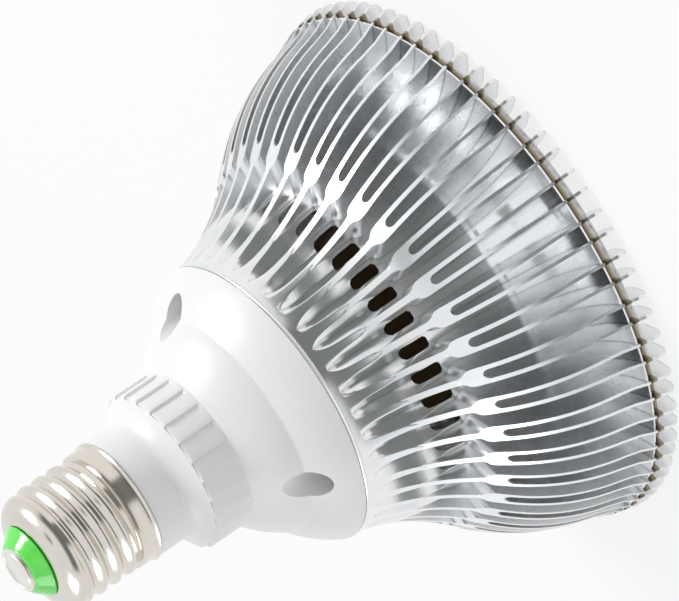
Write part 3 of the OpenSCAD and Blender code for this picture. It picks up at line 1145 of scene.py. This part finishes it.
@dataclass
class ScrewCap:
    """Screw cap: threaded shell, green insulator and centre contact."""

    root_r: float = 12.15
    crest_r: float = 13.15
    pitch: float = 3.63
    crest_z: float = 99.585
    skirt_r: float = 13.2
    rim_r: float = 13.7
    rim_z: float = 95.25
    wall: float = 0.35
    thread_low: float = 99.6
    thread_high: float = 113.5
    hole_r: float = 7.65
    top_z: float = 121.0
    contact_r: float = 4.9
    steps: int = 128

    def wall_path(self, inset: float) -> Outline:
        """One face of the shell's wall, thread left out, from the top hole to the rim.

        Args:
            inset: Depth behind the outer face.

        Returns:
            The path.
        """
        dome = bend(
            (8.0 - inset, 117.1 - inset), (12.1 - inset, 116.9 - inset), (12.75 - inset, 113.6), 10
        )
        shaft = [(self.root_r - inset, z) for z in rows(self.thread_low, self.thread_high, 0.28)]
        skirt = [
            (12.4 - inset, 99.5),
            (12.85 - inset, 99.42),
            (13.1 - inset, 99.3),
            (self.skirt_r - inset, 99.05),
            (self.skirt_r - inset, 97.6),
            (self.skirt_r - inset, 96.2),
            (13.32 - inset, 95.85),
            (self.rim_r - 0.12 - inset, 95.55),
        ]
        return dome + shaft + skirt

    def wind(self, piece: bpy.types.Object) -> None:
        """Winds the round thread into the turned wall.

        Args:
            piece: The turned shell.
        """
        depth = (self.crest_r - self.root_r) / 2
        for vertex in piece.data.vertices:
            x, y, z = vertex.co / MM
            if not self.thread_low - 0.05 < z < self.thread_high + 0.05:
                continue
            azimuth = math.atan2(y, x)
            phase = (z - self.crest_z) / self.pitch * math.tau - azimuth
            ends = smooth(z, self.thread_low, self.thread_low + 1.6) * (
                1.0 - smooth(z, self.thread_high - 1.7, self.thread_high)
            )
            shoulder = 0.6 * smooth(z, self.thread_high - 1.5, self.thread_high)
            radius = math.hypot(x, y) + depth * (1.0 + math.cos(phase)) * ends + shoulder
            vertex.co = Vector((radius * math.cos(azimuth), radius * math.sin(azimuth), z)) * MM

    def shell(self) -> bpy.types.Object:
        """Models the threaded shell.

        Returns:
            The piece.
        """
        rim = [
            (self.rim_r, 95.4),
            (self.rim_r, self.rim_z + 0.08),
            (self.rim_r - 0.1, self.rim_z),
            (self.rim_r - 0.35, self.rim_z),
        ]
        inner = self.wall_path(self.wall)[::-1]
        piece = turned("shell", self.wall_path(0.0) + rim + inner, self.steps)
        self.wind(piece)
        return finish_piece(piece, PlatedShell(), ("screw_shell",), 40.0)

    def insulator(self) -> bpy.types.Object:
        """Models the insulator's cone and its hidden foot.

        Returns:
            The piece.
        """
        outline = [
            (1.0, 112.4),
            (10.9, 112.4),
            (11.2, 113.6),
            *bend((10.9, 115.2), (10.2, 116.1), (self.hole_r - 0.05, 116.6), 4),
            (self.hole_r - 0.05, 117.2),
            (7.95, 117.25),
            (8.1, 117.38),
            (8.05, 117.5),
            *bend((7.9, 117.7), (6.7, 118.9), (5.75, 119.95), 5),
            (5.55, 120.12),
            (5.3, 120.15),
            (1.0, 120.15),
        ]
        piece = turned("green_insulator", outline, 96)
        return finish_piece(piece, GreenGloss(), ("insulator",), 35.0)

    def contact(self) -> bpy.types.Object:
        """Models the centre contact: a flat disc with a groove inside its rim, and its pin.

        Returns:
            The piece.
        """
        r, top = self.contact_r, self.top_z
        outline = [
            (0.0, top),
            (r - 1.05, top),
            (r - 0.9, top - 0.06),
            (r - 0.8, top - 0.24),
            (r - 0.55, top - 0.25),
            (r - 0.42, top - 0.1),
            (r - 0.25, top - 0.05),
            (r - 0.07, top - 0.15),
            (r, top - 0.35),
            (r, top - 0.85),
            (1.0, top - 0.85),
            (1.0, top - 10.0),
            (0.0, top - 10.0),
        ]
        piece = turned("contact", outline, 96)
        return finish_piece(piece, ContactMetal(), ("centre_contact",), 35.0)

    def build(self) -> None:
        """Models and dresses the cap's pieces."""
        self.shell()
        self.insulator()
        self.contact()


@dataclass
class Studio:
    """Camera, floor, room and lamps, with what polished metal sees of them."""

    target: tuple[float, float, float] = (8.548 * MM, 0.0, 31.597 * MM)
    distance: float = 1026.76 * MM
    elevation: float = 22.878
    roll: float = -124.08
    focal_px: float = 5050.2
    sensor_mm: float = 36.0
    floor_size: float = 6.0
    floor_grey: float = 0.82
    floor_glow: float = 0.8
    floor_dark: Colour = (0.09, 0.085, 0.075)
    dark_lean: float = 0.25
    dark_sides: Point = (0.35, 0.6)
    dark_from: Point = (0.13, 0.2)
    room_rise: Point = (-0.1, 0.9)
    room_low: Colour = grey(0.42)
    room_high: Colour = (0.62, 0.625, 0.63)
    tent: Colour = (0.93, 0.95, 0.97)
    tent_dark: Colour = (0.19, 0.205, 0.2)
    front_top: Point = (0.34, 0.52)
    front_sides: Point = (0.3, 0.62)
    spot_at: Colour = (0.21, -0.39, 0.90)
    spot_edge: Point = (0.985, 0.997)
    spot_share: float = 0.8
    aim: Colour = (0.0, 0.0, 0.06)
    lamps: tuple[tuple[str, Colour, float, float], ...] = (
        ("key", (0.88, 0.02, 0.88), 0.45, 8.0),
        ("fill", (-0.85, 0.2, 0.75), 0.6, 2.5),
    )
    bounces: int = 12

    def camera(self) -> None:
        """Places the camera as the photograph's stood."""
        data = bpy.data.cameras.new("camera")
        data.sensor_width = self.sensor_mm
        data.lens = self.sensor_mm * self.focal_px / PHOTO_WIDTH
        data.clip_end = 20.0
        made = bpy.data.objects.new("camera", data)
        bpy.context.scene.collection.objects.link(made)
        lift = math.radians(self.elevation)
        turn = math.radians(self.roll)
        back = Vector((0.0, -math.cos(lift), math.sin(lift)))
        across = Vector((1.0, 0.0, 0.0))
        up = back.cross(across)
        right = math.cos(turn) * across + math.sin(turn) * up
        top = math.cos(turn) * up - math.sin(turn) * across
        turned = Matrix((right, top, back)).transposed()
        made.matrix_world = Matrix.Translation(
            Vector(self.target) + self.distance * back
        ) @ turned.to_4x4()
        bpy.context.scene.camera = made

    def floor(self) -> None:
        """Lays a white floor with the bulb's shadow, dark in front where metal mirrors it."""
        deselect_all()
        bpy.ops.mesh.primitive_plane_add(size=self.floor_size, location=(0, 0, 0))
        made = bpy.context.object
        made.name = "floor"
        paper = bpy.data.materials.new("floor_paper")
        paper.use_nodes = True
        graph = Graph(paper.node_tree)
        matt = graph.node("BsdfDiffuse", Color=grey(self.floor_grey))
        glow = graph.node("Emission", Color=grey(1.0), Strength=1.0)
        ray = graph.node("LightPath")
        mirrored = graph.mirrored(ray)
        parts = graph.node("SeparateXYZ", Vector=graph.node("TexCoord").outputs["Object"])
        ahead = graph.maths("MULTIPLY", parts.outputs[1], -1.0)
        slant = graph.maths("DIVIDE", parts.outputs[0], ahead)
        aside = graph.maths("ABSOLUTE", graph.maths("SUBTRACT", slant, self.dark_lean))
        within = graph.maths("SUBTRACT", 1.0, graph.step(aside, *self.dark_sides))
        dark = graph.maths("MULTIPLY", graph.step(ahead, *self.dark_from), within)
        dim = graph.maths("MULTIPLY", mirrored, dark)
        graph.put(glow, "Color", graph.blend(dim, grey(1.0), self.floor_dark))
        seen = graph.maths("MAXIMUM", ray.outputs["Is Camera Ray"], mirrored)
        share = graph.maths("MULTIPLY", seen, self.floor_glow)
        mix = graph.node("MixShader")
        graph.put(mix, 0, share)
        graph.put(mix, 1, matt.outputs[0])
        graph.put(mix, 2, glow.outputs[0])
        output = graph.node("OutputMaterial")
        graph.put(output, "Surface", mix.outputs[0])
        made.data.materials.append(paper)

    def world(self) -> None:
        """Lights the set with a soft room, which metal mirrors as a pale tent dark in front."""
        world = bpy.data.worlds.new("room")
        bpy.context.scene.world = world
        world.use_nodes = True
        graph = Graph(world.node_tree)
        where = graph.node("TexCoord").outputs["Generated"]
        parts = graph.node("SeparateXYZ", Vector=where)
        rise = graph.step(parts.outputs[2], *self.room_rise)
        room = graph.blend(rise, self.room_low, self.room_high)
        above = graph.step(parts.outputs[2], *self.front_top)
        ahead = graph.maths("MULTIPLY", parts.outputs[1], -1.0)
        front = graph.step(ahead, *self.front_sides)
        shade = graph.maths("MULTIPLY", front, graph.maths("SUBTRACT", 1.0, above))
        near = graph.node("VectorMath", operation="DOT_PRODUCT")
        graph.put(near, 0, where)
        graph.put(near, 1, self.spot_at)
        spot = graph.step(near.outputs["Value"], *self.spot_edge)
        shade = graph.maths("MAXIMUM", shade, graph.maths("MULTIPLY", spot, self.spot_share))
        tent = graph.blend(shade, self.tent, self.tent_dark)
        ray = graph.node("LightPath")
        seen = graph.blend(graph.mirrored(ray), room, tent)
        seen = graph.blend(ray.outputs["Is Camera Ray"], seen, grey(1.0))
        back = graph.node("Background", Color=seen, Strength=1.0)
        output = graph.node("OutputWorld")
        graph.put(output, "Surface", back.outputs[0])

    def lamp(self, name: str, place: Colour, size: float, power: float) -> None:
        """Hangs one soft lamp that points at the bulb.

        Args:
            name: Name of the lamp.
            place: Where it hangs.
            size: Side of its square.
            power: Its power in watts.
        """
        data = bpy.data.lights.new(name, "AREA")
        data.size = size
        data.energy = power
        made = bpy.data.objects.new(name, data)
        bpy.context.scene.collection.objects.link(made)
        made.location = place
        towards = Vector(self.aim) - Vector(place)
        made.rotation_euler = towards.to_track_quat("-Z", "Y").to_euler()

    def build(self) -> None:
        """Sets up the whole studio."""
        self.camera()
        self.floor()
        self.world()
        for lamp in self.lamps:
            self.lamp(*lamp)
        bpy.context.scene.view_settings.view_transform = "Standard"
        bpy.context.scene.cycles.glossy_bounces = self.bounces


def dress_inner(frame: dict) -> None:
    """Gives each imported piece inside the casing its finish.
    """
    for entry in Inner:
        node = frame["nodes"][entry.name.lower()]
        for place in node.material_slots:
            place.material = entry.value.material()
        LOG.info("%s: %s", node.name, entry.value.name)


def front_pieces() -> tuple[CopiedPiece, ...]:
    """Lists the pieces of the bulb's front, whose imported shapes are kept.

    Returns:
        The pieces.
    """
    plate = Finish("black_plate", (0.012, 0.012, 0.014), 0.45)
    bezel = Finish("brushed_bezel", (0.7, 0.71, 0.73), 0.28, 1.0)
    screws = Finish("zinc_screw_c", ZINC, 0.3, 1.0)
    return (
        CopiedPiece("lens_plate", "plate", "black_plate", plate),
        CopiedPiece("lenses", "clear_lenses", "clear_lens", ClearLens()),
        CopiedPiece("front_bezel", "bezel", "bezel_metal", bezel),
        CopiedPiece("bezel_screws", "front_screws", "zinc_steel", screws),
    )


def main() -> None:
    """Builds the scene and logs the faces of the new pieces."""
    logging.basicConfig(level=logging.INFO, format="%(message)s")
    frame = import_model()
    Studio().build()
    for piece in front_pieces():
        piece.build(frame)
    CastHeatSink().build()
    WhiteHousing().build()
    ScrewCap().build()
    dress_inner(frame)


if __name__ == "__main__":
    main()
